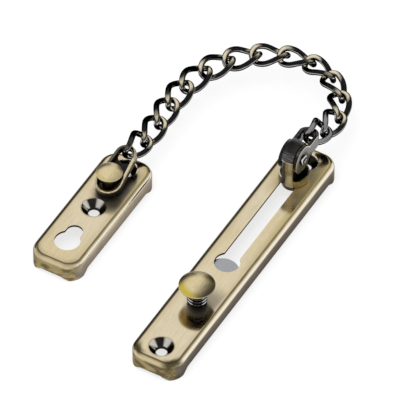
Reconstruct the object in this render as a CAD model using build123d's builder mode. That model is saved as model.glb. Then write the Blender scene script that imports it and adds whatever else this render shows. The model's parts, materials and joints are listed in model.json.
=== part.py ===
from build123d import *

import math
import os

os.makedirs("parts", exist_ok=True)

# Pressed sheet plates
plate_width = 27.0
track_length = 159.0
keeper_length = 79.0
plate_height = 10.2
sheet = 1.2
corner_radius = 8.5
edge_radius = 2.8
arch_depth = 2.2
arch_run = 4.0
ear_length = 12.0
ear_width = 8.0

# Countersunk screw holes
screw_hole = 5.6
screw_cone = 12.0
cone_depth = 3.6
track_screw_inset = 10.5
keeper_screw_spacing = 29.5
keeper_screw_inset = 9.0

# Keyhole slots
slot_width = 8.4
slot_mouth = 12.7
slot_blend = 1.2
track_mouth_at = -6.8
slot_end_room = 0.2
keyhole_at = -23.9
keyhole_reach = 6.6

# Press button, its spring and the catch leaf
button_at = -35.5
button_head = 17.7
button_rim_height = 11.2
button_dome = 3.0
button_rim = 1.0
button_edge = 0.5
button_stem = 6.4
button_travel = 3.2
stem_tip = 4.0
stem_room = 0.3
spring_wire = 1.2
spring_mean = 8.6
spring_turns = 4.5
spring_seat = 0.15
leaf_thickness = 1.2
leaf_width = 13.0
leaf_tail = 8.0
leaf_cover = 3.4
leaf_nose = 8.0
leaf_room = 0.3
peen_height = 0.8
peen_lip = 1.2

# Slider that runs in the slot
slider_inset = 22.0
slide_room = 0.25
foot_width = 12.2
foot_flat = 4.2
foot_thickness = 2.0
foot_neck = 8.0
shank = 5.0
shank_fit = 0.05
collar = 15.0
collar_height = 4.0
tongue_thickness = 6.0
tongue_top = 7.9
pin_height = 14.5

# Clevis bracket and its rivet
bracket_strap = 1.6
cheek_room = 0.3
lobe_radius = 7.2
arm_height = 7.0
bow_height = 4.6
bow_reach = 18.9
arm_step = 5.5
pin_diameter = 4.0
pin_fit = 0.05
pin_head = 5.6
pin_head_height = 1.5

# Twisted chain links
link_wire = 2.9
link_half_length = 8.75
link_half_width = 5.3
link_twist = 56.0
link_pitch = 13.6
link_count = 14
bow_grip = 4.8
strap_grip = 4.2
end_roll = 56.0
chain_height = 5.7
drop_shares = (0.62, 0.3, 0.08)
first_heading = -10.0
link_turns = (12, 23, 25, 25, 24, 20, 16, 16, 15, 13, 6, -3, -10)

# Hanger strap and the knob that holds it
strap_tilt = 14.0
strap_length = 16.6
strap_near_radius = 6.7
strap_far_radius = 5.4
strap_floor = 1.2
strap_rim = 1.5
strap_height = 3.8
strap_edge = 0.6
strap_room = 0.35
knob_head = 12.9
knob_rim_height = 10.8
knob_dome = 2.0
knob_rim = 0.9
knob_edge = 0.5
knob_neck = 7.0
knob_shank = 5.0
neck_room = 0.6

# Levels worked out from the sizes above
under_sheet = plate_height - sheet
track_screw_spacing = track_length - 2 * track_screw_inset
slider_at = track_length / 2 - slider_inset
chain_level = plate_height + chain_height
pin_level = plate_height + pin_height
leaf_top = under_sheet - leaf_room
foot_top = under_sheet - slide_room
foot_bottom = foot_top - foot_thickness
collar_bottom = plate_height + slide_room
collar_top = collar_bottom + collar_height
leaf_end = track_mouth_at + leaf_cover
slide_travel = slider_at - foot_width / 2 - leaf_end - leaf_room
slot_end = slider_at + slot_end_room
strap_base = plate_height + strap_room + strap_near_radius * math.sin(math.radians(strap_tilt))


def pressed_shell(place, length):
    """Add a drawn sheet plate, open below, its rim arched between the corner ears."""
    with BuildSketch(place) as outline:
        RectangleRounded(length, plate_width, corner_radius)
    extrude(outline.sketch, amount=plate_height)
    fillet(faces().sort_by(Axis.Z)[-1].edges(), radius=edge_radius)
    offset(amount=-sheet, openings=faces().sort_by(Axis.Z)[0])
    side = Plane(place.origin, x_dir=(1, 0, 0), z_dir=(0, -1, 0))
    end = Plane(place.origin, x_dir=(0, 1, 0), z_dir=(1, 0, 0))
    for wall, half in ((side, length / 2 - ear_length), (end, plate_width / 2 - ear_width)):
        with BuildSketch(wall) as arch:
            with BuildLine():
                Polyline(
                    (-half - arch_run, 0),
                    (-half, arch_depth),
                    (half, arch_depth),
                    (half + arch_run, 0),
                    close=True,
                )
            make_face()
        extrude(arch.sketch, amount=length, both=True, mode=Mode.SUBTRACT)


def screw_dimples(place, stations):
    """Press countersunk screw holes into the top sheet."""
    for station in stations:
        seat = place.from_local_coords(Vector(station, 0, plate_height))
        below = seat - Vector(0, 0, sheet)
        with Locations(below):
            Cone(screw_hole / 2 + sheet, screw_cone / 2 + sheet, cone_depth, align=hang)
        with Locations(seat):
            Cone(screw_hole / 2, screw_cone / 2, cone_depth, align=hang, mode=Mode.SUBTRACT)
            Cylinder(screw_hole / 2, plate_height, align=hang, mode=Mode.SUBTRACT)


def keyhole(place, mouth, reach):
    """Cut a round mouth that runs out into a narrower slot."""
    with BuildSketch(place.offset(plate_height)) as outline:
        with Locations((mouth, 0)):
            Circle(slot_mouth / 2)
        with Locations((mouth + reach / 2, 0)):
            SlotCenterToCenter(reach, slot_width)
        fillet(outline.vertices().sort_by(Axis.X)[:2], radius=slot_blend)
    extrude(outline.sketch, amount=-2 * sheet, mode=Mode.SUBTRACT)


def biarc(start, start_dir, end, end_dir):
    """Join two points by two tangent arcs."""
    chord = end - start
    both = start_dir + end_dir
    spread = 1 - start_dir.dot(end_dir)
    along = chord.dot(both)
    reach = (math.sqrt(along**2 + 2 * spread * chord.dot(chord)) - along) / (2 * spread)
    middle = (start + end + (start_dir - end_dir) * reach) * 0.5
    first = TangentArc(start, middle, tangent=start_dir)
    TangentArc(middle, end, tangent=first % 1)


def dome(radius, level, rise, edge):
    """Draw half of a domed top's outline: a rounded edge, then one arc up to the axis."""
    sink = ((radius - edge) ** 2 - (rise - edge) ** 2) / (2 * (rise - edge))
    meet = math.degrees(math.atan2(sink, radius - edge))
    CenterArc((radius - edge, level), edge, 0, meet)
    CenterArc((0, level - sink), rise + sink, meet, 90 - meet)


def link_quarters():
    """Return the four quarters of a link's line, each as two points with their directions."""
    twist = math.radians(link_twist)
    tip = Vector(link_half_length, 0, 0)
    tip_dir = Vector(0, math.cos(twist), -math.sin(twist))
    side = Vector(0, link_half_width, 0)
    side_dir = Vector(-1, 0, link_half_width * twist / link_half_length).normalized()
    turned = Vector(-1, 1, -1)
    return [
        (tip, tip_dir, side, side_dir),
        (side, side_dir, flip(tip, turned), -flip(tip_dir, turned)),
        (flip(tip, turned), -flip(tip_dir, turned), -side, flip(side_dir, Vector(-1, -1, 1))),
        (-side, flip(side_dir, Vector(-1, -1, 1)), tip, tip_dir),
    ]


def flip(vector, signs):
    """Return a vector with the signs of its parts changed."""
    return Vector(vector.X * signs.X, vector.Y * signs.Y, vector.Z * signs.Z)


def chain_place(start, heading, incline, roll):
    """Return a link's plane: its length runs from start, turned, inclined and rolled."""
    turn = math.radians(heading)
    rise = math.radians(incline)
    ahead = Vector(math.cos(turn) * math.cos(rise), math.sin(turn) * math.cos(rise), math.sin(rise))
    left = Vector(-math.sin(turn), math.cos(turn), 0)
    up = ahead.cross(left)
    lean = math.radians(roll)
    upright = up * math.cos(lean) - left * math.sin(lean)
    return Plane(start + ahead * (link_pitch / 2), x_dir=ahead, z_dir=upright)


hang = (Align.CENTER, Align.CENTER, Align.MAX)
stand = (Align.CENTER, Align.CENTER, Align.MIN)

# Long plate with the slot
with BuildPart() as track_plate:
    pressed_shell(Plane.XY, track_length)
    screw_dimples(Plane.XY, (-track_screw_spacing / 2, track_screw_spacing / 2))
    keyhole(Plane.XY, track_mouth_at, slot_end - track_mouth_at)
    with Locations((button_at, 0, plate_height)):
        Cylinder(button_stem / 2 + stem_room, 2 * sheet, mode=Mode.SUBTRACT)
track_plate.part.label = "track_plate"

# Catch leaf under the plate, with a rounded nose across the slot's mouth
with BuildPart() as catch_leaf:
    with BuildSketch(Plane.XY.offset(leaf_top - leaf_thickness)):
        with BuildLine():
            heel = button_at - leaf_tail
            shoulder = leaf_end - leaf_nose + math.sqrt(leaf_nose**2 - leaf_width**2 / 4)
            Polyline(
                (shoulder, leaf_width / 2),
                (heel, leaf_width / 2),
                (heel, -leaf_width / 2),
                (shoulder, -leaf_width / 2),
            )
            ThreePointArc((shoulder, -leaf_width / 2), (leaf_end, 0), (shoulder, leaf_width / 2))
        make_face()
        with Locations((button_at, 0)):
            Circle(stem_tip / 2, mode=Mode.SUBTRACT)
    extrude(amount=leaf_thickness)
    fillet(catch_leaf.edges().filter_by(Axis.Z).sort_by(Axis.X)[:2], radius=leaf_tail / 4)
catch_leaf.part.label = "catch_leaf"

# Press button: domed head, stem and the tip peened under the leaf
rim_level = plate_height + button_rim_height
head_bottom = rim_level - button_rim
leaf_bottom = leaf_top - leaf_thickness
with BuildPart() as press_button:
    with BuildSketch(Plane((button_at, 0, 0), x_dir=(1, 0, 0), z_dir=(0, -1, 0))):
        with BuildLine():
            Polyline(
                (0, rim_level + button_dome),
                (0, leaf_bottom - peen_height),
                (stem_tip / 2 + peen_lip, leaf_bottom - peen_height),
                (stem_tip / 2 + peen_lip, leaf_bottom),
                (stem_tip / 2, leaf_bottom),
                (stem_tip / 2, leaf_top),
                (button_stem / 2, leaf_top),
                (button_stem / 2, head_bottom),
                (button_head / 2 - button_rim, head_bottom),
            )
            CenterArc((button_head / 2 - button_rim, rim_level), button_rim, -90, 90)
            dome(button_head / 2, rim_level, button_dome, button_edge)
        make_face()
    revolve(axis=Axis((button_at, 0, 0), (0, 0, 1)))
press_button.part.label = "press_button"

# Coil spring between the plate and the button's head
spring_bottom = plate_height + spring_seat + spring_wire / 2
spring_rise = head_bottom - spring_seat - spring_wire / 2 - spring_bottom
with BuildPart() as button_spring:
    with BuildLine(Plane((button_at, 0, spring_bottom))) as coil:
        Helix(spring_rise / spring_turns, spring_rise, spring_mean / 2)
    with BuildSketch(Plane(coil.line @ 0, z_dir=coil.line % 0)):
        Circle(spring_wire / 2)
    sweep(path=coil.line, is_frenet=True)
button_spring.part.label = "button_spring"

# Flanged bush that runs in the slot under the sheet, cut flat to pass the screw seat
with BuildPart() as slider_foot:
    with BuildSketch(Plane((slider_at, 0, foot_bottom))):
        Circle(foot_width / 2)
        with Locations((foot_flat + foot_width / 2, 0)):
            Rectangle(foot_width, foot_width, mode=Mode.SUBTRACT)
    extrude(amount=foot_thickness)
    with Locations((slider_at, 0, foot_bottom)):
        Cylinder(foot_neck / 2, plate_height - foot_bottom, align=stand)
        Cylinder(shank / 2 + shank_fit, 2 * plate_height, mode=Mode.SUBTRACT)
slider_foot.part.label = "slider_foot"

# Turned head with a milled tongue, its shank peened under the bush
pin_section = Plane((slider_at, 0, pin_level), x_dir=(1, 0, 0), z_dir=(0, -1, 0))
with BuildPart() as slider_head:
    with Locations((slider_at, 0, collar_bottom)):
        Cylinder(collar / 2, pin_level + tongue_top - collar_bottom, align=stand)
    with BuildSketch(pin_section.offset(-collar)):
        Circle(tongue_top)
        with Locations((0, -pin_level)):
            Rectangle(2 * tongue_top, 2 * pin_level)
    extrude(amount=2 * collar, mode=Mode.INTERSECT)
    for flank in (-1, 1):
        with Locations((slider_at, flank * (tongue_thickness / 2 + collar / 2), collar_top)):
            Box(2 * collar, collar, 2 * pin_level, align=stand, mode=Mode.SUBTRACT)
    with Locations((slider_at, 0, collar_bottom)):
        Cylinder(shank / 2, collar_bottom - foot_bottom + slide_room, align=hang)
    with Locations((slider_at, 0, foot_bottom - slide_room)):
        Cylinder(shank / 2 + peen_lip, peen_height, align=hang)
    with Locations(pin_section):
        Cylinder(pin_diameter / 2 + pin_fit, collar, mode=Mode.SUBTRACT)
slider_head.part.label = "slider_head"

# Bent strap bracket that straddles the tongue
cheek_inside = tongue_thickness / 2 + cheek_room
cheek_outside = cheek_inside + bracket_strap
bow_centre = bow_reach - cheek_outside
pin_plane = Plane((slider_at, 0, pin_level))
with BuildPart() as link_bracket:
    with BuildSketch(pin_plane) as bend:
        with Locations(((bow_centre - lobe_radius) / 2, 0)):
            Rectangle(bow_centre + lobe_radius, 2 * cheek_outside)
            Rectangle(bow_centre + lobe_radius, 2 * cheek_inside, mode=Mode.SUBTRACT)
        with Locations((bow_centre, 0)):
            Circle(cheek_outside)
            Circle(cheek_inside, mode=Mode.SUBTRACT)
        with Locations((bow_centre - bow_reach, 0)):
            Rectangle(2 * bow_reach, 2 * cheek_inside, mode=Mode.SUBTRACT)
    extrude(amount=lobe_radius, both=True)
    with BuildSketch(pin_section.offset(-2 * cheek_outside)) as cheek:
        Circle(lobe_radius)
        with BuildLine():
            Polyline(
                (0, arm_height / 2),
                (bow_centre, arm_height / 2),
                (bow_reach, bow_height / 2),
                (bow_reach, -bow_height / 2),
                (bow_centre, -arm_height / 2),
                (0, -arm_height / 2),
                close=True,
            )
        make_face()
        fillet(cheek.vertices().filter_by(lambda v: v.X < bow_centre).sort_by(Axis.X)[-2:], arm_step / 2)
    extrude(amount=4 * cheek_outside, mode=Mode.INTERSECT)
    with Locations(pin_section):
        Cylinder(pin_diameter / 2, 4 * cheek_outside, mode=Mode.SUBTRACT)
link_bracket.part.label = "link_bracket"

# Rivet through both cheeks and the tongue, domed over at each end
with BuildPart() as bracket_pin:
    with BuildSketch(Plane((slider_at, 0, pin_level), x_dir=(0, 1, 0), z_dir=(1, 0, 0))):
        with BuildLine():
            Polyline(
                (0, 0),
                (0, pin_diameter / 2),
                (cheek_outside, pin_diameter / 2),
                (cheek_outside, pin_head / 2),
            )
            biarc(
                Vector(cheek_outside, pin_head / 2),
                Vector(1, 0),
                Vector(cheek_outside + pin_head_height, 0),
                Vector(0, -1),
            )
            Line((cheek_outside + pin_head_height, 0), (0, 0))
        make_face()
        mirror(about=Plane.YZ)
    revolve(axis=Axis((slider_at, 0, pin_level), (0, 1, 0)))
bracket_pin.part.label = "bracket_pin"

# Chain route: the first links come down from the bracket, the last climbs to the strap
strap_reach = strap_length + strap_far_radius - strap_rim / 2
tilt = math.radians(strap_tilt)
eye_level = strap_base + strap_height / 2 + strap_reach * math.sin(tilt)
last_run = link_pitch / 2 + link_half_length - strap_grip
bow_middle = Vector(slider_at + bow_reach - bracket_strap / 2, 0, pin_level)
drop = pin_level - chain_level
first_back = link_half_length - link_pitch / 2 - bow_grip
link_inclines = [0.0] * link_count
link_inclines[0] = -math.degrees(math.asin(drop_shares[0] * drop / (link_pitch + first_back)))
link_inclines[1] = -math.degrees(math.asin(drop_shares[1] * drop / link_pitch))
link_inclines[2] = -math.degrees(math.asin(drop_shares[2] * drop / link_pitch))
link_inclines[-1] = math.degrees(math.asin((eye_level - chain_level) / last_run))
link_places = []
link_joints = []
heading = first_heading
joint = bow_middle
for index in range(link_count):
    roll = end_roll * (1 - 2 * index / (link_count - 1))
    place = chain_place(joint, heading, link_inclines[index], roll)
    if index == 0:
        place.origin = place.origin + place.x_dir * first_back
    link_places.append(place)
    link_joints.append(joint)
    joint = place.origin + place.x_dir * (link_pitch / 2)
    if index < len(link_turns):
        heading += link_turns[index]

# Twisted links, each bent from one length of round wire
chain_links = []
for index, place in enumerate(link_places):
    with BuildPart() as chain_link:
        for half in (link_quarters()[:2], link_quarters()[2:]):
            with BuildLine() as wire_line:
                for start, start_dir, end, end_dir in half:
                    biarc(
                        place.from_local_coords(start),
                        place.from_local_coords(start_dir) - place.origin,
                        place.from_local_coords(end),
                        place.from_local_coords(end_dir) - place.origin,
                    )
            with BuildSketch(Plane(wire_line.wire() @ 0, z_dir=wire_line.wire() % 0)):
                Circle(link_wire / 2)
            sweep(path=wire_line.wire())
    chain_link.part.label = f"chain_link_{index + 1:02d}"
    chain_links.append(chain_link)

# Dished strap with an eye for the last link and a hole for the knob's neck
rim_point = link_joints[-1] + link_places[-1].x_dir * last_run
knob_at = Vector(rim_point.X - strap_reach * math.cos(tilt), rim_point.Y, 0)
strap_plane = Plane(
    knob_at + Vector(0, 0, strap_base),
    x_dir=(math.cos(tilt), 0, math.sin(tilt)),
    z_dir=(-math.sin(tilt), 0, math.cos(tilt)),
)
with BuildPart() as hanger_strap:
    with BuildSketch(strap_plane):
        Circle(strap_near_radius)
        with Locations((strap_length, 0)):
            Circle(strap_far_radius)
        make_hull()
    extrude(amount=strap_height)
    with BuildSketch(strap_plane.offset(strap_floor)):
        Circle(strap_near_radius - strap_rim)
        with Locations((strap_length, 0)):
            Circle(strap_far_radius - strap_rim)
        make_hull()
    extrude(amount=strap_height, mode=Mode.SUBTRACT)
    with BuildSketch(strap_plane):
        Circle(knob_neck / 2 + neck_room)
        with Locations((strap_length, 0)):
            Circle(strap_far_radius - strap_rim)
    extrude(amount=strap_height, mode=Mode.SUBTRACT)
    rim_axis = Axis(strap_plane.origin, strap_plane.z_dir)
    fillet(hanger_strap.faces().sort_by(rim_axis)[-1].edges(), radius=strap_edge)
hanger_strap.part.label = "hanger_strap"

# Short plate with its parking keyhole
knob_station = keeper_length / 2 - keeper_screw_inset - keeper_screw_spacing / 2
keeper_place = Plane((knob_at.X - knob_station, knob_at.Y, 0))
keeper_screws = (
    keeper_length / 2 - keeper_screw_inset - keeper_screw_spacing,
    keeper_length / 2 - keeper_screw_inset,
)
with BuildPart() as keeper_plate:
    pressed_shell(keeper_place, keeper_length)
    screw_dimples(keeper_place, keeper_screws)
    keyhole(keeper_place, keyhole_at, keyhole_reach)
    with Locations((knob_at.X, knob_at.Y, plate_height)):
        Cylinder(knob_shank / 2, 2 * sheet, mode=Mode.SUBTRACT)
keeper_plate.part.label = "keeper_plate"

# Knob riveted into the short plate, with the strap loose on its neck
knob_level = plate_height + knob_rim_height
knob_bottom = knob_level - knob_rim
with BuildPart() as keeper_knob:
    with BuildSketch(Plane(knob_at, x_dir=(1, 0, 0), z_dir=(0, -1, 0))):
        with BuildLine():
            Polyline(
                (0, knob_level + knob_dome),
                (0, under_sheet - peen_height),
                (knob_shank / 2 + peen_lip, under_sheet - peen_height),
                (knob_shank / 2 + peen_lip, under_sheet),
                (knob_shank / 2, under_sheet),
                (knob_shank / 2, plate_height),
                (knob_neck / 2, plate_height),
                (knob_neck / 2, knob_bottom),
                (knob_head / 2 - knob_rim, knob_bottom),
            )
            CenterArc((knob_head / 2 - knob_rim, knob_level), knob_rim, -90, 90)
            dome(knob_head / 2, knob_level, knob_dome, knob_edge)
        make_face()
    revolve(axis=Axis(knob_at, (0, 0, 1)))
keeper_knob.part.label = "keeper_knob"

pieces = [
    track_plate,
    catch_leaf,
    press_button,
    button_spring,
    slider_foot,
    slider_head,
    link_bracket,
    bracket_pin,
    *chain_links,
    hanger_strap,
    keeper_plate,
    keeper_knob,
]
for piece in pieces:
    export_step(piece.part, f"parts/{piece.part.label}.step")
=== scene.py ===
import json
import math

import bpy
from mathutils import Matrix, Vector


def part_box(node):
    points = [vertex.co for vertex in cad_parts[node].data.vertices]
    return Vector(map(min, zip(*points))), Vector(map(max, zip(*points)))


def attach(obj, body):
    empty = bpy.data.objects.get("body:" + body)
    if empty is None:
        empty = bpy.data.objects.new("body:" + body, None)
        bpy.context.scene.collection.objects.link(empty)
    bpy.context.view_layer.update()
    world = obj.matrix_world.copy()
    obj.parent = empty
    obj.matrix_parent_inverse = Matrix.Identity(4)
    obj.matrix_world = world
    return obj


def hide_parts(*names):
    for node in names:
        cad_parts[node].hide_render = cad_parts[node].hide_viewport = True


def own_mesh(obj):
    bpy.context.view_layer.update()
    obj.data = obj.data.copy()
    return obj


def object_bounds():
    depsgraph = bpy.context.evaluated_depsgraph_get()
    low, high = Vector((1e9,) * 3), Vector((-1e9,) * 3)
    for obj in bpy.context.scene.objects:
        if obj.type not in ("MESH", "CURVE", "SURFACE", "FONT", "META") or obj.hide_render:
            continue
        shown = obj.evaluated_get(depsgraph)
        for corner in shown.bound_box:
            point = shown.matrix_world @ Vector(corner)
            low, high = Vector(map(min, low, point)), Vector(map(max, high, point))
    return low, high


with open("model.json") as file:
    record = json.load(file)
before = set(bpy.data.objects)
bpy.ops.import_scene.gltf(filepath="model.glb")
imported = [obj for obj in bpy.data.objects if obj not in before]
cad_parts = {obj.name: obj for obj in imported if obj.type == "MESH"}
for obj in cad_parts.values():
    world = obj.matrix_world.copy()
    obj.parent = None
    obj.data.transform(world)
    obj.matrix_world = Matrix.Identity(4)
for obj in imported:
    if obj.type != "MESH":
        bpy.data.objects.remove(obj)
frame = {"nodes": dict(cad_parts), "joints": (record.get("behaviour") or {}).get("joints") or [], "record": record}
cad_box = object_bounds()
node_objects = frame["nodes"]

# Millimetres in a metre: the finishes are set out in millimetres
mm = 1000.0

# Sizes of the part that its finishes follow, in millimetres
plate_corner = 8.5
button_rim = 8.85
knob_rim = 6.45
collar_height = 4.25
bracket_lobe = 7.2
bracket_arm = 7.0
strap_rim = 3.8


def centre_of(node):
    """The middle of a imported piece's box, in metres."""
    low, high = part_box(node)
    return [(a + b) / 2 for a, b in zip(low, high)]


# Shader helpers shared by the finishes

def start_finish(name):
    """A bare metal with its node tree, ready for a finish."""
    material = bpy.data.materials.new(name)
    material.use_nodes = True
    tree = material.node_tree
    tree.nodes.clear()
    output = tree.nodes.new("ShaderNodeOutputMaterial")
    metal = tree.nodes.new("ShaderNodeBsdfPrincipled")
    metal.inputs["Metallic"].default_value = 1.0
    tree.links.new(metal.outputs["BSDF"], output.inputs["Surface"])
    return material, tree, metal


def close_finish(tree, metal, shade, gloss, height, depth, strength):
    """Links colour and roughness to the metal, and a bump from a height map."""
    tree.links.new(shade, metal.inputs["Base Color"])
    tree.links.new(gloss, metal.inputs["Roughness"])
    bump = tree.nodes.new("ShaderNodeBump")
    bump.inputs["Strength"].default_value = strength
    bump.inputs["Distance"].default_value = depth
    tree.links.new(height, bump.inputs["Height"])
    tree.links.new(bump.outputs["Normal"], metal.inputs["Normal"])


def feed(tree, socket, value):
    """Links a socket, or sets its value where the value is plain."""
    if isinstance(value, bpy.types.NodeSocket):
        tree.links.new(value, socket)
    else:
        socket.default_value = value


def work_out(tree, operation, *values):
    """One Math node."""
    node = tree.nodes.new("ShaderNodeMath")
    node.operation = operation
    for socket, value in zip(node.inputs, values):
        feed(tree, socket, value)
    return node.outputs[0]


def vector_step(tree, operation, first, second=None):
    """One Vector Math node."""
    node = tree.nodes.new("ShaderNodeVectorMath")
    node.operation = operation
    feed(tree, node.inputs[0], first)
    if second is not None:
        feed(tree, node.inputs[1], second)
    plain = operation in ("LENGTH", "DISTANCE")
    return node.outputs["Value"] if plain else node.outputs["Vector"]


def rise(tree, value, start, end):
    """0 before start, 1 after end, smooth between them."""
    node = tree.nodes.new("ShaderNodeMapRange")
    node.interpolation_type = "SMOOTHSTEP"
    feed(tree, node.inputs["Value"], value)
    node.inputs["From Min"].default_value = min(start, end)
    node.inputs["From Max"].default_value = max(start, end)
    node.inputs["To Min"].default_value = 0.0 if start < end else 1.0
    node.inputs["To Max"].default_value = 1.0 if start < end else 0.0
    return node.outputs["Result"]


def overlap(tree, first, second):
    """Where two masks meet."""
    return work_out(tree, "MULTIPLY", first, second)


def band(tree, value, low_out, low_in, high_in, high_out):
    """1 between the two inner values, 0 outside the two outer ones."""
    return overlap(tree, rise(tree, value, low_out, low_in), rise(tree, value, high_out, high_in))


def stirred(tree, value, noise, reach):
    """A value that a noise pushes up and down, by half of reach each way."""
    return work_out(tree, "MULTIPLY_ADD", work_out(tree, "SUBTRACT", noise, 0.5), reach, value)


def lean(tree, first, first_share, second, second_share):
    """How far a surface leans one way, from shares of two of its directions."""
    other = work_out(tree, "MULTIPLY", second, second_share)
    return work_out(tree, "MULTIPLY_ADD", first, first_share, other)


def grain(tree, noise, spread, least):
    """A roughness that a noise lifts from its least."""
    return work_out(tree, "MULTIPLY_ADD", noise, spread, least)


def colour(red, green, blue):
    """An opaque colour."""
    return (red, green, blue, 1.0)


def tint(tree, share, under, over):
    """The colour under, covered by the colour over by a share."""
    node = tree.nodes.new("ShaderNodeMix")
    node.data_type = "RGBA"
    feed(tree, node.inputs[0], share)
    feed(tree, node.inputs[6], under)
    feed(tree, node.inputs[7], over)
    return node.outputs[2]


def fade(tree, value, start, end, first, second):
    """The first colour before start, the second after end."""
    return tint(tree, rise(tree, value, start, end), first, second)


def cover(tree, shade, mask, over, most=None):
    """A shade covered by another where a mask is, by no more than a share."""
    share = mask if most is None else work_out(tree, "MULTIPLY", mask, most)
    return tint(tree, share, shade, over)


def place_on(tree, centre=(0, 0, 0), stretch=(1, 1, 1), turn=(0, 0, 0)):
    """Object coordinates, centred, turned and stretched for a pattern."""
    coordinates = tree.nodes.new("ShaderNodeTexCoord")
    moved = tree.nodes.new("ShaderNodeMapping")
    moved.inputs["Location"].default_value = [-c for c in centre]
    tree.links.new(coordinates.outputs["Object"], moved.inputs["Vector"])
    turned = tree.nodes.new("ShaderNodeMapping")
    turned.inputs["Rotation"].default_value = turn
    turned.inputs["Scale"].default_value = stretch
    tree.links.new(moved.outputs["Vector"], turned.inputs["Vector"])
    return turned.outputs["Vector"]


def mottle(tree, vector, scale, detail, roughness):
    """Noise from 0 to 1."""
    node = tree.nodes.new("ShaderNodeTexNoise")
    tree.links.new(vector, node.inputs["Vector"])
    node.inputs["Scale"].default_value = scale
    node.inputs["Detail"].default_value = detail
    node.inputs["Roughness"].default_value = roughness
    return node.outputs[0]


def streaks(tree, stretch, detail, roughness):
    """Noise drawn out along the axes that are stretched least."""
    return mottle(tree, place_on(tree, stretch=stretch), 1.0, detail, roughness)


def parts_of(tree, vector):
    """The X, Y and Z of a vector."""
    node = tree.nodes.new("ShaderNodeSeparateXYZ")
    tree.links.new(vector, node.inputs["Vector"])
    return node.outputs["X"], node.outputs["Y"], node.outputs["Z"]


def facing(tree):
    """The X, Y and Z of the surface's own direction."""
    node = tree.nodes.new("ShaderNodeNewGeometry")
    return parts_of(tree, node.outputs["Normal"])


def flat_place(tree, x, y):
    """Millimetres from an upright axis, as a flat vector."""
    return place_on(tree, centre=(x, y, 0), stretch=(mm, mm, 0))


def from_axis(tree, x, y):
    """Distance in millimetres from an upright axis."""
    return vector_step(tree, "LENGTH", flat_place(tree, x, y))


def round_axis(tree, x, y):
    """The turn round an upright axis, in radians."""
    side_x, side_y = parts_of(tree, flat_place(tree, x, y))[:2]
    return work_out(tree, "ARCTAN2", side_y, side_x)


def turned_to(tree, round_it, turn):
    """1 at a turn round an axis, -1 on the other side of the axis."""
    return work_out(tree, "COSINE", work_out(tree, "SUBTRACT", round_it, turn))


def from_cross_axis(tree, axis_x, level):
    """Distance in millimetres from an axis that runs along Y."""
    return vector_step(tree, "LENGTH", place_on(tree, (axis_x, 0, level), (mm, 0, mm)))


def inset_from_rim(tree, low, high, corner):
    """Millimetres inside a plate's rounded outline seen from above, and how far into a corner."""
    centre = [(a + b) / 2 for a, b in zip(low, high)]
    half = [(b - a) * mm / 2 - corner for a, b in zip(low, high)]
    reach = vector_step(tree, "ABSOLUTE", flat_place(tree, centre[0], centre[1]))
    past = vector_step(tree, "SUBTRACT", reach, (half[0], half[1], 0))
    rounded = vector_step(tree, "LENGTH", vector_step(tree, "MAXIMUM", past, (0, 0, 0)))
    past_x, past_y = parts_of(tree, past)[:2]
    straight = work_out(tree, "MINIMUM", work_out(tree, "MAXIMUM", past_x, past_y), 0.0)
    inset = work_out(tree, "SUBTRACT", corner, work_out(tree, "ADD", rounded, straight))
    return inset, work_out(tree, "MINIMUM", past_x, past_y)


# Finishes

def brushed_face(tree, hairlines, clouds):
    """The brushed flat of a plate: pale, golden in places, with long darker marks."""
    long_marks = streaks(tree, (22, 900, 900), 3.0, 0.5)
    sheen = streaks(tree, (18, 40, 40), 2.0, 0.5)
    golden = fade(tree, hairlines, 0.25, 0.75, colour(0.60, 0.49, 0.29), colour(0.74, 0.625, 0.40))
    pale = fade(tree, hairlines, 0.25, 0.75, colour(0.64, 0.55, 0.375), colour(0.78, 0.685, 0.495))
    face = fade(tree, sheen, 0.35, 0.62, pale, golden)
    face = cover(tree, face, rise(tree, long_marks, 0.45, 0.75), colour(0.40, 0.32, 0.18), 0.12)
    return cover(tree, face, rise(tree, clouds, 0.48, 0.8), colour(0.42, 0.345, 0.21), 0.2)


def plate_wall(tree, endways, height, clouds, wall_low, wall_high):
    """A plate's sides: long walls in painted shade, darker towards the bottom and clouded along their length; end
    walls stained brass, lighter towards the bottom.
    """
    stains = mottle(tree, place_on(tree, stretch=(1.0, 1.0, 2.0)), 130.0, 3.0, 0.5)
    long_wall = fade(tree, height, 1.0, 8.5, wall_low, wall_high)
    long_clouds = rise(tree, clouds, 0.4, 0.75)
    long_wall = cover(tree, long_wall, long_clouds, colour(0.085, 0.072, 0.062), 0.4)
    end_wall = fade(tree, height, 0.5, 7.0, colour(0.42, 0.33, 0.165), colour(0.33, 0.26, 0.13))
    end_stains = rise(tree, stains, 0.44, 0.62)
    end_wall = cover(tree, end_wall, end_stains, colour(0.085, 0.064, 0.034), 0.8)
    return fade(tree, endways, 0.3, 0.8, long_wall, end_wall)


def screw_seat(tree, shade, clouds, x, y, glints, crescent):
    """A black seat painted as a dark reflection, with painted glints, a dark lip and a painted highlight crescent
    on its far side.

    glints: turn round the hole, narrowness and share of each painted glint.
    """
    away = from_axis(tree, x, y)
    round_it = round_axis(tree, x, y)
    painted_reflection = fade(tree, clouds, 0.35, 0.65, colour(0.010, 0.009, 0.008), colour(0.03, 0.027, 0.023))
    # Painted glints on the black seat
    for turn, narrow, most in glints:
        glow = rise(tree, turned_to(tree, round_it, turn), narrow - 0.04, narrow + 0.07)
        painted_reflection = cover(tree, painted_reflection, glow, colour(0.66, 0.63, 0.58), most)
    lip = band(tree, away, 5.6, 5.9, 6.0, 6.9)
    shade = cover(tree, shade, lip, colour(0.10, 0.08, 0.045), 0.5)
    shade = fade(tree, away, 6.1, 5.8, shade, painted_reflection)
    shade = fade(tree, away, 3.3, 2.9, shade, colour(0.02, 0.018, 0.015))
    # Painted highlight crescent on the far side of the lip
    far_side = rise(tree, turned_to(tree, round_it, -0.45), -0.1, 0.35)
    bright_lip = overlap(tree, far_side, band(tree, away, 5.4, 5.8, 6.3, 6.8))
    return cover(tree, shade, bright_lip, colour(0.74, 0.66, 0.48), crescent)


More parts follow.
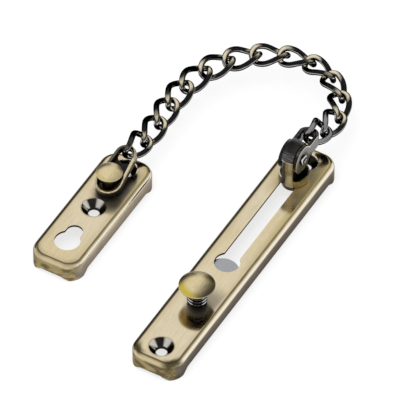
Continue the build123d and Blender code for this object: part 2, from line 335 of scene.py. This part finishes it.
def plate_finish(name, box, screw_holes, shade_halos, scuffed, line_reflection_share, corner_shade_share, wall_low, wall_high):
    """Antique brass sheet: finely brushed, a painted dark reflection line where the flat meets the rolled edge, a
    painted highlight on the rolled edge.

    shade_halos: x, y, inner and outer radius and share of each dark halo of painted shade.
    scuffed: x, y, inner and outer radius, stain and added roughness of each matt patch.
    lined, pooled: shares of the painted dark reflection line and of the painted shade in the near corners.
    """
    low, high = box
    material, tree, metal = start_finish(name)
    metal.inputs["Specular Tint"].default_value = colour(0.52, 0.50, 0.46)
    facing_x, facing_y, facing_z = facing(tree)
    endways = work_out(tree, "ABSOLUTE", facing_x)
    middle_x, middle_y = [(a + b) / 2 for a, b in zip(low, high)][:2]
    along, across, height = parts_of(tree, place_on(tree, (middle_x, middle_y, 0), (mm, mm, mm)))
    inset, corner = inset_from_rim(tree, low, high, plate_corner)
    hairlines = streaks(tree, (260, 7000, 7000), 3.0, 0.6)
    clouds = mottle(tree, place_on(tree), 75.0, 5.0, 0.6)
    specks = mottle(tree, place_on(tree), 2400.0, 3.0, 0.6)

    brushed = brushed_face(tree, hairlines, clouds)
    wall = plate_wall(tree, endways, height, clouds, wall_low, wall_high)
    olive = fade(tree, specks, 0.3, 0.7, colour(0.055, 0.041, 0.016), colour(0.105, 0.080, 0.032))
    bronze = fade(tree, clouds, 0.35, 0.65, colour(0.50, 0.41, 0.235), colour(0.34, 0.265, 0.13))
    edge_highlight = fade(tree, specks, 0.3, 0.7, colour(0.82, 0.74, 0.60), colour(0.92, 0.85, 0.73))
    edge_highlight = fade(tree, endways, 0.25, 0.6, edge_highlight, colour(0.60, 0.505, 0.325))

    # Wall in painted shade, rolled edge with a painted highlight band, and flat, with a painted dark reflection
    # line between the last two
    rolled = cover(tree, bronze, band(tree, facing_z, 0.28, 0.50, 0.74, 0.90), edge_highlight)
    shade = fade(tree, facing_z, 0.40, 0.08, rolled, wall)
    shade = fade(tree, inset, 1.9, 2.8, shade, brushed)
    drift = stirred(tree, inset, clouds, 5.0)
    soft_reflection_line = overlap(tree, rise(tree, inset, 1.4, 2.4), rise(tree, drift, 5.6, 2.0))
    shade = cover(tree, shade, soft_reflection_line, olive, 0.15)
    shade = cover(tree, shade, band(tree, inset, 1.6, 2.0, 2.3, 2.9), olive, line_reflection_share)

    # Painted golden sheen along the near side, towards the far end
    golden_sheen = overlap(tree, rise(tree, inset, 6.5, 3.0), rise(tree, inset, 1.6, 2.6))
    golden_sheen = overlap(tree, golden_sheen, rise(tree, across, 6.0, -6.0))
    golden_sheen = overlap(tree, golden_sheen, rise(tree, along, -25.0, 45.0))
    shade = cover(tree, shade, golden_sheen, colour(0.46, 0.375, 0.165), 0.65)

    # Painted shade in the corners of the near end
    corner_shade = overlap(tree, rise(tree, corner, -1.5, 3.5), band(tree, drift, -0.2, 0.9, 3.0, 5.4))
    corner_shade = overlap(tree, corner_shade, rise(tree, along, 30.0, -30.0))
    shade = cover(tree, shade, corner_shade, colour(0.05, 0.037, 0.012), corner_shade_share)

    # Painted shade: black along the far edge; black also on the cut faces
    far_edge_shade = rise(tree, lean(tree, facing_x, 0.5, facing_y, 0.86), 0.34, 0.58)
    far_edge_shade = overlap(tree, far_edge_shade, rise(tree, facing_z, 0.05, 0.35))
    shade = cover(tree, shade, far_edge_shade, colour(0.022, 0.018, 0.012), 0.95)
    cut = overlap(tree, rise(tree, facing_z, 0.6, 0.3), rise(tree, inset, 3.2, 3.8))
    shade = cover(tree, shade, cut, colour(0.014, 0.012, 0.009))

    # Painted shade: dark halos round the button and knob and under the strap
    for x, y, inner, outer, depth in shade_halos:
        away = stirred(tree, from_axis(tree, x, y), clouds, 5.0)
        halo = overlap(tree, rise(tree, away, outer, inner), rise(tree, inset, 2.2, 4.6))
        shade = cover(tree, shade, halo, colour(0.115, 0.098, 0.088), depth)

    gloss = grain(tree, clouds, 0.04, grain(tree, hairlines, 0.07, 0.07))
    for x, y, inner, outer, stained, roughened in scuffed:
        rubbed = rise(tree, from_axis(tree, x, y), outer, inner)
        rubbed = overlap(tree, rubbed, rise(tree, inset, 2.0, 3.2))
        shade = cover(tree, shade, rubbed, colour(0.42, 0.33, 0.15), stained)
        gloss = grain(tree, rubbed, roughened, gloss)

    for x, y, glints, crescent in screw_holes:
        shade = screw_seat(tree, shade, clouds, x, y, glints, crescent)

    close_finish(tree, metal, shade, gloss, hairlines, depth=0.00001, strength=0.08)
    return material


def turned_finish(name, x, y, rim_radius, shading_share):
    """Golden brass dome, brushed one way, with painted shade and light: a darker rim, olive and brown sides, a
    yellow highlight at the near left.
    """
    material, tree, metal = start_finish(name)
    facing_x, facing_y, facing_z = facing(tree)
    away = from_axis(tree, x, y)
    brushing = streaks(tree, (200, 3200, 3200), 3.0, 0.65)
    clouds = mottle(tree, place_on(tree), 170.0, 4.0, 0.55)

    shade = fade(tree, brushing, 0.25, 0.75, colour(0.62, 0.505, 0.26), colour(0.78, 0.67, 0.43))
    shade = cover(tree, shade, rise(tree, clouds, 0.45, 0.75), colour(0.50, 0.385, 0.13), 0.3)
    # Painted shade: darker rim, brown, olive and far sides; painted highlight: yellow at the near left
    rim = rise(tree, away, rim_radius * 0.62, rim_radius * 0.98)
    shade = cover(tree, shade, rim, colour(0.22, 0.165, 0.045), 0.7 * shading_share)
    tilt = stirred(tree, facing_y, brushing, 0.16)
    brown_side = rise(tree, tilt, 0.02, -0.50)
    shade = cover(tree, shade, brown_side, colour(0.042, 0.032, 0.02), shading_share)
    olive_side = rise(tree, tilt, 0.22, 0.54)
    shade = cover(tree, shade, olive_side, colour(0.17, 0.125, 0.025), 0.7 * shading_share)
    far_side = rise(tree, facing_x, 0.12, 0.45)
    shade = cover(tree, shade, far_side, colour(0.20, 0.155, 0.045), 0.6 * shading_share)
    near_left = rise(tree, lean(tree, facing_x, -0.9, facing_y, 0.42), 0.26, 0.48)
    shade = cover(tree, shade, near_left, colour(0.58, 0.45, 0.05), 0.85 * shading_share)
    # Painted highlight: a bright ring low on the dome
    edge = band(tree, facing_z, 0.02, 0.2, 0.5, 0.7)
    shade = cover(tree, shade, edge, colour(0.74, 0.65, 0.45), 0.7)

    # Painted shade underneath, darker on one side and black by the stem
    side_y = parts_of(tree, flat_place(tree, x, y))[1]
    below = fade(tree, side_y, -3.0, 5.0, colour(0.13, 0.105, 0.055), colour(0.42, 0.335, 0.155))
    shade = fade(tree, facing_z, 0.10, -0.3, shade, below)
    stem = rise(tree, away, rim_radius * 0.6, rim_radius * 0.5)
    stem = overlap(tree, stem, rise(tree, facing_z, 0.5, 0.1))
    shade = cover(tree, shade, stem, colour(0.02, 0.018, 0.014))

    gloss = grain(tree, brushing, 0.12, 0.24)
    close_finish(tree, metal, shade, gloss, brushing, depth=0.00002, strength=0.12)
    return material


def chain_finish(name, bends, grey_end):
    """Black gunmetal wire: rubbed pale brass and painted highlight on top of the bends where links meet, grey
    painted highlight on top at one end.
    """
    material, tree, metal = start_finish(name)
    metal.inputs["Specular Tint"].default_value = colour(0.08, 0.08, 0.08)
    facing_x, _, facing_z = facing(tree)
    patches = mottle(tree, place_on(tree), 150.0, 3.0, 0.5)
    scuffs = mottle(tree, place_on(tree), 1600.0, 3.0, 0.6)
    here = place_on(tree, stretch=(mm, mm, mm))

    def distance_to(spot):
        return vector_step(tree, "DISTANCE", here, [c * mm for c in spot])

    nearest = distance_to(bends[0])
    for bend in bends[1:]:
        nearest = work_out(tree, "MINIMUM", nearest, distance_to(bend))
    nearest = stirred(tree, nearest, patches, 4.0)
    upward = stirred(tree, lean(tree, facing_x, -0.35, facing_z, 0.94), patches, 0.3)
    # Rubbed brass and painted highlight on top near the joints
    rub_and_highlight = overlap(tree, rise(tree, nearest, 6.0, 3.8), rise(tree, upward, 0.58, 0.93))

    black = fade(tree, scuffs, 0.3, 0.7, colour(0.006, 0.006, 0.007), colour(0.018, 0.018, 0.019))
    brass = fade(tree, scuffs, 0.3, 0.7, colour(0.60, 0.52, 0.36), colour(0.78, 0.70, 0.53))
    # Painted highlight: a thin pale line along the sides of the wire
    highlight_line = band(tree, facing_z, 0.06, 0.18, 0.26, 0.40)
    shade = cover(tree, black, highlight_line, colour(0.55, 0.54, 0.52), 0.9)
    # Painted highlight: grey on top of the links near the bracket
    painted_reflection = rise(tree, distance_to(grey_end), 19.0, 12.0)
    painted_reflection = overlap(tree, painted_reflection, rise(tree, upward, 0.35, 0.85))
    shade = cover(tree, shade, painted_reflection, colour(0.26, 0.26, 0.27), 0.9)
    shade = cover(tree, shade, rub_and_highlight, brass)

    gloss = grain(tree, rub_and_highlight, 0.14, grain(tree, scuffs, 0.08, 0.06))
    close_finish(tree, metal, shade, gloss, scuffs, depth=0.000006, strength=0.08)
    return material


def head_finish(name, axis_x, pin_level, collar_top):
    """Slider head: black flats, brass collar and narrow sides with painted shade where they face +Y, brushed grey
    on top.
    """
    material, tree, metal = start_finish(name)
    _, facing_y, facing_z = facing(tree)
    from_x, _, above_pin = parts_of(tree, place_on(tree, (axis_x, 0, pin_level), (mm, mm, mm)))
    above_collar = parts_of(tree, place_on(tree, (0, 0, collar_top), (mm, mm, mm)))[2]
    from_pin = from_cross_axis(tree, axis_x, pin_level)
    away = from_axis(tree, axis_x, 0.0)
    clouds = mottle(tree, place_on(tree), 180.0, 4.0, 0.6)
    marks = streaks(tree, (2600, 200, 2600), 3.0, 0.6)
    flats = rise(tree, work_out(tree, "ABSOLUTE", facing_y), 0.93, 0.98)
    flats = overlap(tree, flats, rise(tree, above_collar, 0.0, 0.2))
    shelf = overlap(tree, rise(tree, facing_z, 0.8, 0.95), rise(tree, above_collar, 1.0, 0.3))

    brass = fade(tree, clouds, 0.3, 0.7, colour(0.21, 0.165, 0.08), colour(0.40, 0.325, 0.175))
    dim = fade(tree, marks, 0.3, 0.7, colour(0.03, 0.029, 0.029), colour(0.085, 0.08, 0.078))
    grey = fade(tree, marks, 0.3, 0.7, colour(0.03, 0.029, 0.029), colour(0.14, 0.13, 0.128))
    black = fade(tree, clouds, 0.3, 0.7, colour(0.008, 0.008, 0.008), colour(0.03, 0.028, 0.026))
    # Painted shade: dark grey where the round faces turn towards +Y
    shade = fade(tree, facing_y, 0.13, 0.05, dim, brass)
    shade = fade(tree, above_pin, 2.0, 2.4, shade, grey)
    shade = fade(tree, above_pin, 5.6, 6.8, shade, black)
    # Painted highlight: a pale band across the tongue
    crest = band(tree, above_pin, 1.7, 1.95, 2.2, 2.5)
    shade = cover(tree, shade, crest, colour(0.66, 0.58, 0.50), 0.8)
    shade = cover(tree, shade, flats, black)
    shade = cover(tree, shade, shelf, black)
    shade = fade(tree, above_collar, -4.1, -4.4, shade, colour(0.34, 0.265, 0.125))

    front_edge = rise(tree, work_out(tree, "ABSOLUTE", from_x), 6.2, 6.7)
    top_edge = overlap(tree, rise(tree, from_pin, 7.3, 7.7), rise(tree, above_pin, 0.0, 2.0))
    edge = overlap(tree, work_out(tree, "MAXIMUM", front_edge, top_edge), flats)
    collar_edge = overlap(tree, shelf, rise(tree, away, 6.6, 7.1))
    edge = work_out(tree, "MAXIMUM", edge, collar_edge)
    shade = cover(tree, shade, edge, colour(0.64, 0.56, 0.38), 0.9)

    gloss = grain(tree, marks, 0.14, 0.14)
    close_finish(tree, metal, shade, gloss, marks, depth=0.00002, strength=0.12)
    return material


def bracket_finish(name, axis_x, pin_level, lobe, arm):
    """Bracket: grey cheeks with a pale rubbed rim, black in the rivet's recess and on narrow sides."""
    material, tree, metal = start_finish(name)
    _, facing_y, facing_z = facing(tree)
    from_x, _, above_pin = parts_of(tree, place_on(tree, (axis_x, 0, pin_level), (mm, mm, mm)))
    from_pin = from_cross_axis(tree, axis_x, pin_level)
    clouds = mottle(tree, place_on(tree), 160.0, 4.0, 0.6)
    marks = streaks(tree, (500, 500, 2600), 3.0, 0.6)
    level = stirred(tree, above_pin, clouds, 4.0)
    in_lobe = work_out(tree, "SUBTRACT", lobe, from_pin)
    in_arm = work_out(tree, "SUBTRACT", arm / 2, work_out(tree, "ABSOLUTE", above_pin))
    in_arm = work_out(tree, "MINIMUM", in_arm, from_x)
    inset = work_out(tree, "MAXIMUM", in_lobe, in_arm)
    cheek = rise(tree, work_out(tree, "ABSOLUTE", facing_y), 0.8, 0.95)

    grey = fade(tree, marks, 0.3, 0.7, colour(0.105, 0.10, 0.102), colour(0.165, 0.155, 0.152))
    black = fade(tree, marks, 0.3, 0.7, colour(0.008, 0.008, 0.008), colour(0.03, 0.029, 0.028))
    face = fade(tree, level, -3.6, -1.2, black, grey)
    face = fade(tree, from_pin, 4.7, 4.2, face, colour(0.008, 0.008, 0.008))
    rubbed = overlap(tree, rise(tree, inset, 0.75, 0.35), rise(tree, level, -3.5, 0.0))
    face = cover(tree, face, rubbed, colour(0.66, 0.59, 0.46), 0.9)
    shade = cover(tree, black, cheek, face)
    worn_top = overlap(tree, rise(tree, facing_z, 0.75, 0.95), rise(tree, clouds, 0.45, 0.65))
    shade = cover(tree, shade, worn_top, colour(0.22, 0.21, 0.205), 0.6)

    gloss = grain(tree, marks, 0.12, 0.12)
    close_finish(tree, metal, shade, gloss, marks, depth=0.00001, strength=0.1)
    return material


def strap_finish(name, base, tilt, rim_height):
    """Strap: pale brass along the top of its rim, darkened on its far part as painted shade, black inside and down
    its sides.
    """
    material, tree, metal = start_finish(name)
    clouds = mottle(tree, place_on(tree), 170.0, 4.0, 0.6)
    marks = streaks(tree, (300, 2600, 2600), 3.0, 0.6)
    turned = place_on(tree, base, (mm, mm, mm), (0, math.radians(tilt), 0))
    along_x, along_y, above = parts_of(tree, turned)
    above = stirred(tree, above, clouds, 1.0)
    black = fade(tree, marks, 0.3, 0.7, colour(0.007, 0.007, 0.007), colour(0.03, 0.027, 0.023))
    brass = fade(tree, marks, 0.3, 0.7, colour(0.54, 0.45, 0.285), colour(0.74, 0.65, 0.47))
    brass = cover(tree, brass, rise(tree, clouds, 0.50, 0.62), colour(0.15, 0.12, 0.07), 0.6)
    # Painted shade on the far part of the rim
    far_rim_shade = overlap(tree, rise(tree, along_y, 0.5, 3.0), rise(tree, along_x, -1.0, 4.0))
    brass = cover(tree, brass, far_rim_shade, colour(0.03, 0.027, 0.023), 0.85)
    shade = fade(tree, above, rim_height * 0.62, rim_height * 0.86, black, brass)
    gloss = grain(tree, marks, 0.10, 0.10)
    close_finish(tree, metal, shade, gloss, marks, depth=0.00001, strength=0.1)
    return material


def rivet_finish(name, axis_x, axis_z):
    """Rivet ends: bright steel with dark turned grooves."""
    material, tree, metal = start_finish(name)
    dents = mottle(tree, place_on(tree), 420.0, 2.0, 0.5)
    away = stirred(tree, from_cross_axis(tree, axis_x, axis_z), dents, 1.2)
    groove = work_out(tree, "PINGPONG", away, 0.8)
    shade = fade(tree, groove, 0.54, 0.70, colour(0.012, 0.012, 0.012), colour(0.70, 0.69, 0.68))
    shade = cover(tree, shade, rise(tree, dents, 0.52, 0.62), colour(0.03, 0.03, 0.03), 0.8)
    gloss = grain(tree, dents, 0.15, 0.10)
    close_finish(tree, metal, shade, gloss, groove, depth=0.0001, strength=0.3)
    return material


def steel_finish(name, dark, light, brushing, rough):
    """Plain steel with drawn or ground marks."""
    material, tree, metal = start_finish(name)
    marks = streaks(tree, brushing, 3.0, 0.55)
    clouds = mottle(tree, place_on(tree), 130.0, 3.0, 0.5)
    shade = fade(tree, marks, 0.25, 0.75, dark, light)
    shade = cover(tree, shade, rise(tree, clouds, 0.45, 0.75), dark, 0.4)
    gloss = grain(tree, marks, 0.10, rough)
    close_finish(tree, metal, shade, gloss, marks, depth=0.00001, strength=0.1)
    return material


def spring_finish(name, x, y):
    """Near-black spring wire with a painted highlight on both sides of each turn."""
    material, tree, metal = start_finish(name)
    facing_z = facing(tree)[2]
    marks = streaks(tree, (900, 900, 900), 3.0, 0.55)
    round_it = round_axis(tree, x, y)
    shade = fade(tree, marks, 0.25, 0.75, colour(0.008, 0.008, 0.008), colour(0.07, 0.068, 0.065))
    # Painted highlights on both sides of every turn
    for turn in (-3.45, -1.70):
        spot = rise(tree, turned_to(tree, round_it, turn), 0.90, 0.985)
        spot = overlap(tree, spot, band(tree, facing_z, 0.36, 0.56, 0.74, 0.90))
        shade = cover(tree, shade, spot, colour(0.85, 0.84, 0.82), 0.85)
    gloss = grain(tree, marks, 0.10, 0.08)
    close_finish(tree, metal, shade, gloss, marks, depth=0.00001, strength=0.1)
    return material


# Where the finishes sit

button_place = centre_of("press_button")
knob_place = centre_of("keeper_knob")
slider_place = centre_of("slider_foot")
pin_place = centre_of("bracket_pin")
plate_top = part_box("track_plate")[1][2]
collar_top = plate_top + collar_height / mm
mounts = {mount["name"]: mount for mount in frame["record"]["mounts"]}
joints = {joint["name"]: joint for joint in frame["joints"]}
strap_tilt = 14.0
strap_base = joints["keeper_hinge"]["pos_m"]


def beside(place, x, y):
    """A spot some millimetres along X and Y from a place."""
    return place[0] + x / mm, place[1] + y / mm


def screw_spots(mount):
    """The two screw holes of a plate, from the record, each with the painted glints in its seat."""
    x, y = mount["pos_m"][:2]
    half = mount["dims"]["spacing_x_mm"] / 2 / mm
    glints = ((-0.10, 0.925, 0.8), (1.55, 0.91, 0.85), (3.3, 0.97, 0.25))
    return [(x - half, y, glints, 0.0), (x + half, y, (), 0.9)]


# Where links meet, rubbed to brass and given a painted highlight on top; the two joints next to the bracket stay
# black
unmarked_joints = ("link_01_hinge", "link_02_hinge")
link_bends = [
    joint["pos_m"]
    for name, joint in joints.items()
    if name.startswith("link_") and name not in unmarked_joints
]
link_bends.append(joints["strap_hinge"]["pos_m"])

finishes = {
    "track_plate": plate_finish(
        "track_antique_brass",
        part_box("track_plate"),
        screw_spots(mounts["track_screws"]),
        shade_halos=[
            (*beside(button_place, 2.0, -5.0), 3.0, 13.0, 0.65),
            (*beside(button_place, -2.5, -2.5), 2.0, 8.5, 0.85),
        ],
        scuffed=[
            (*beside(slider_place, -1.0, -5.0), 11.0, 19.0, 0.4, 0.24),
            (*beside(button_place, -4.5, -2.6), 3.5, 7.5, 0.0, 0.25),
        ],
        line_reflection_share=0.85,
        corner_shade_share=0.92,
        # Walls of the track in a darker painted shade
        wall_low=colour(0.115, 0.100, 0.090),
        wall_high=colour(0.20, 0.175, 0.155),
    ),
    "keeper_plate": plate_finish(
        "keeper_antique_brass",
        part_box("keeper_plate"),
        screw_spots(mounts["keeper_screws"]),
        shade_halos=[
            (*beside(knob_place, -3.0, -5.0), 6.0, 14.0, 0.85),
            (*beside(knob_place, 10.0, 0.0), 6.0, 12.0, 0.9),
        ],
        scuffed=[(*beside(knob_place, -3.0, -5.0), 9.0, 15.0, 0.0, 0.20)],
        line_reflection_share=0.8,
        corner_shade_share=0.25,
        # Walls of the keeper in a lighter painted shade
        wall_low=colour(0.25, 0.215, 0.175),
        wall_high=colour(0.44, 0.375, 0.29),
    ),
    "press_button": turned_finish("button_turned_brass", *button_place[:2], button_rim, shading_share=0.95),
    "keeper_knob": turned_finish("knob_turned_brass", *knob_place[:2], knob_rim, shading_share=0.35),
    "slider_head": head_finish("slider_head_patina", pin_place[0], pin_place[2], collar_top),
    "link_bracket": bracket_finish(
        "bracket_patina", pin_place[0], pin_place[2], bracket_lobe, bracket_arm
    ),
    "hanger_strap": strap_finish("strap_patina", strap_base, strap_tilt, strap_rim),
    "bracket_pin": rivet_finish("pin_rivet_steel", pin_place[0], pin_place[2]),
    "slider_foot": steel_finish(
        "slider_foot_patina",
        dark=colour(0.012, 0.011, 0.009),
        light=colour(0.09, 0.075, 0.045),
        brushing=(500, 500, 500),
        rough=0.15,
    ),
    "catch_leaf": steel_finish(
        "catch_leaf_steel",
        dark=colour(0.32, 0.33, 0.35),
        light=colour(0.39, 0.40, 0.42),
        brushing=(500, 6000, 6000),
        rough=0.18,
    ),
    "button_spring": spring_finish("spring_dark_steel", *button_place[:2]),
}
chain_black = chain_finish("chain_rubbed_gunmetal", link_bends, joints["link_01_hinge"]["pos_m"])

for name, piece in node_objects.items():
    finish = chain_black if name.startswith("chain_link") else finishes[name]
    piece.data.materials.clear()
    piece.data.materials.append(finish)


# Button spring: a wound coil in place of the imported spring

def coil_spring_tree():
    """A round wire wound on a helix, with its sizes as inputs."""
    tree = bpy.data.node_groups.new("button_spring_coil", "GeometryNodeTree")
    for label, kind in (
        ("Turns", "Float"),
        ("Coil radius", "Float"),
        ("Wire radius", "Float"),
        ("Rise", "Float"),
        ("Foot", "Vector"),
        ("Wire finish", "Material"),
    ):
        tree.interface.new_socket(label, in_out="INPUT", socket_type="NodeSocket" + kind)
    tree.interface.new_socket("Coil", in_out="OUTPUT", socket_type="NodeSocketGeometry")
    given = tree.nodes.new("NodeGroupInput")
    made = tree.nodes.new("NodeGroupOutput")

    helix = tree.nodes.new("GeometryNodeCurveSpiral")
    helix.inputs["Resolution"].default_value = 40
    tree.links.new(given.outputs["Turns"], helix.inputs["Rotations"])
    tree.links.new(given.outputs["Coil radius"], helix.inputs["Start Radius"])
    tree.links.new(given.outputs["Coil radius"], helix.inputs["End Radius"])
    tree.links.new(given.outputs["Rise"], helix.inputs["Height"])
    wire = tree.nodes.new("GeometryNodeCurvePrimitiveCircle")
    wire.inputs["Resolution"].default_value = 16
    tree.links.new(given.outputs["Wire radius"], wire.inputs["Radius"])
    tube = tree.nodes.new("GeometryNodeCurveToMesh")
    tube.inputs["Fill Caps"].default_value = True
    tree.links.new(helix.outputs["Curve"], tube.inputs["Curve"])
    tree.links.new(wire.outputs["Curve"], tube.inputs["Profile Curve"])
    seat = tree.nodes.new("GeometryNodeTransform")
    tree.links.new(tube.outputs["Mesh"], seat.inputs["Geometry"])
    tree.links.new(given.outputs["Foot"], seat.inputs["Translation"])
    smooth = tree.nodes.new("GeometryNodeSetShadeSmooth")
    tree.links.new(seat.outputs["Geometry"], smooth.inputs["Geometry"])
    real = tree.nodes.new("GeometryNodeRealizeInstances")
    tree.links.new(smooth.outputs["Geometry"], real.inputs["Geometry"])
    painted = tree.nodes.new("GeometryNodeSetMaterial")
    tree.links.new(real.outputs["Geometry"], painted.inputs["Geometry"])
    tree.links.new(given.outputs["Wire finish"], painted.inputs["Material"])
    tree.links.new(painted.outputs["Geometry"], made.inputs["Coil"])
    return tree


def make_from_tree(name, tree, sizes):
    """Runs a node tree on an empty piece and keeps the result as a plain mesh."""
    maker = bpy.data.objects.new(name + "_maker", bpy.data.meshes.new(name + "_start"))
    bpy.context.scene.collection.objects.link(maker)
    modifier = maker.modifiers.new(name, "NODES")
    modifier.node_group = tree
    for socket in tree.interface.items_tree:
        if socket.in_out == "INPUT":
            modifier[socket.identifier] = sizes[socket.name]
    made = maker.evaluated_get(bpy.context.evaluated_depsgraph_get())
    mesh = bpy.data.meshes.new_from_object(made)
    maker.modifiers.remove(modifier)
    bpy.data.objects.remove(maker)
    mesh.name = name
    piece = bpy.data.objects.new(name, mesh)
    bpy.context.scene.collection.objects.link(piece)
    return piece


spring_low, spring_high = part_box("button_spring")
spring_wire_radius = 0.0006
spring_sizes = {
    "Turns": 4.5,
    "Coil radius": 0.0043,
    "Wire radius": spring_wire_radius,
    "Rise": spring_high[2] - spring_low[2] - 2 * spring_wire_radius,
    "Foot": (button_place[0], button_place[1], spring_low[2] + spring_wire_radius),
    "Wire finish": finishes["button_spring"],
}
button_coil = make_from_tree("button_coil", coil_spring_tree(), spring_sizes)
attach(button_coil, "plate")
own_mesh(button_coil)
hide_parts("button_spring")


# Floor, world and lamp

floor_half = 3.0
floor_gap = 0.00005
floor_glow = 0.74
card_foot = 0.0
world_light = 0.8
lamp_aim = (0.02, 0.03, 0.0)


def stage_sheet(name, corners, material):
    """One flat sheet of the studio, not part of the object."""
    mesh = bpy.data.meshes.new(name)
    mesh.from_pydata(corners, [], [(0, 1, 2, 3)])
    mesh.materials.append(material)
    sheet = bpy.data.objects.new(name, mesh)
    bpy.context.scene.collection.objects.link(sheet)
    return sheet


def seen_directly(tree):
    """1 for camera, mirror and glass rays."""
    path = tree.nodes.new("ShaderNodeLightPath")
    seen = work_out(tree, "MAXIMUM", path.outputs["Is Camera Ray"], path.outputs["Is Glossy Ray"])
    return work_out(tree, "MAXIMUM", seen, path.outputs["Is Transmission Ray"])


def pale_floor(level):
    """A plain white floor that keeps a soft shadow."""
    material = bpy.data.materials.new("pale_floor")
    material.use_nodes = True
    tree = material.node_tree
    tree.nodes.clear()
    output = tree.nodes.new("ShaderNodeOutputMaterial")
    matt = tree.nodes.new("ShaderNodeBsdfDiffuse")
    matt.inputs["Color"].default_value = colour(0.30, 0.30, 0.30)
    white = tree.nodes.new("ShaderNodeEmission")
    white.inputs["Color"].default_value = colour(1.0, 1.0, 1.0)
    glow = work_out(tree, "MULTIPLY", seen_directly(tree), floor_glow)
    tree.links.new(glow, white.inputs["Strength"])
    both = tree.nodes.new("ShaderNodeAddShader")
    tree.links.new(matt.outputs["BSDF"], both.inputs[0])
    tree.links.new(white.outputs["Emission"], both.inputs[1])
    tree.links.new(both.outputs["Shader"], output.inputs["Surface"])
    turns = ((-1, -1), (1, -1), (1, 1), (-1, 1))
    stage_sheet("studio_floor", [(x * floor_half, y * floor_half, level) for x, y in turns], material)


def dark_card(name, foot_a, foot_b, top):
    """A black card that stands beside the object and shows only in the metal."""
    material = bpy.data.materials.new(name)
    material.use_nodes = True
    paint = material.node_tree.nodes["Principled BSDF"]
    paint.inputs["Base Color"].default_value = colour(0.02, 0.02, 0.02)
    paint.inputs["Roughness"].default_value = 0.9
    paint.inputs["Specular IOR Level"].default_value = 0.0
    corners = [(*foot_a, card_foot), (*foot_b, card_foot), (*foot_b, top), (*foot_a, top)]
    card = stage_sheet(name, corners, material)
    card.visible_camera = False
    card.visible_diffuse = False
    card.visible_shadow = False


def white_world(soft_strength):
    """White to the camera and in reflections, softer as light."""
    world = bpy.data.worlds.new("studio_white")
    world.use_nodes = True
    bpy.context.scene.world = world
    tree = world.node_tree
    sky = tree.nodes["Background"]
    sky.inputs["Color"].default_value = colour(1.0, 1.0, 1.0)
    extra = 1.0 - soft_strength
    strength = work_out(tree, "MULTIPLY_ADD", seen_directly(tree), extra, soft_strength)
    tree.links.new(strength, sky.inputs["Strength"])


def soft_lamp(name, spot, aim, width, height, power):
    """A rectangular soft lamp turned to its aim, not seen in the metal."""
    light = bpy.data.lights.new(name, "AREA")
    light.shape = "RECTANGLE"
    light.size = width
    light.size_y = height
    light.energy = power
    lamp = bpy.data.objects.new(name, light)
    lamp.location = spot
    lamp.rotation_euler = (Vector(aim) - Vector(spot)).to_track_quat("-Z", "Y").to_euler()
    lamp.visible_glossy = False
    bpy.context.scene.collection.objects.link(lamp)


pale_floor(cad_box[0][2] - floor_gap)
dark_card("card_far_left", (0.05, 0.75), (0.65, 0.40), top=0.30)
dark_card("card_far_right", (0.72, 0.20), (0.61, -0.12), top=0.34)
white_world(world_light)
soft_lamp("lamp_over", (-0.25, 0.1, 0.9), lamp_aim, width=0.6, height=0.6, power=3.0)


# Camera at the photo's angle

view_azimuth = 300.0
view_elevation = 47.0
frame_width = 0.1914
frame_middle = Vector((0.02185, 0.03148, plate_top))
lens_length = 900.0
sensor_width = 36.0
clip_end = 50.0


def photo_camera():
    """A long lens at the photo's angle."""
    data = bpy.data.cameras.new("photo_camera")
    data.sensor_width = sensor_width
    data.lens = lens_length
    data.clip_end = clip_end
    camera = bpy.data.objects.new("photo_camera", data)
    turn = math.radians(view_azimuth)
    lift = math.radians(view_elevation)
    flat = math.cos(lift)
    back = Vector((math.sin(turn) * flat, -math.cos(turn) * flat, math.sin(lift)))
    camera.location = frame_middle + back * (frame_width * lens_length / sensor_width)
    camera.rotation_euler = (-back).to_track_quat("-Z", "Y").to_euler()
    bpy.context.scene.collection.objects.link(camera)
    bpy.context.scene.camera = camera


photo_camera()
bpy.context.scene.view_settings.view_transform = "Standard"
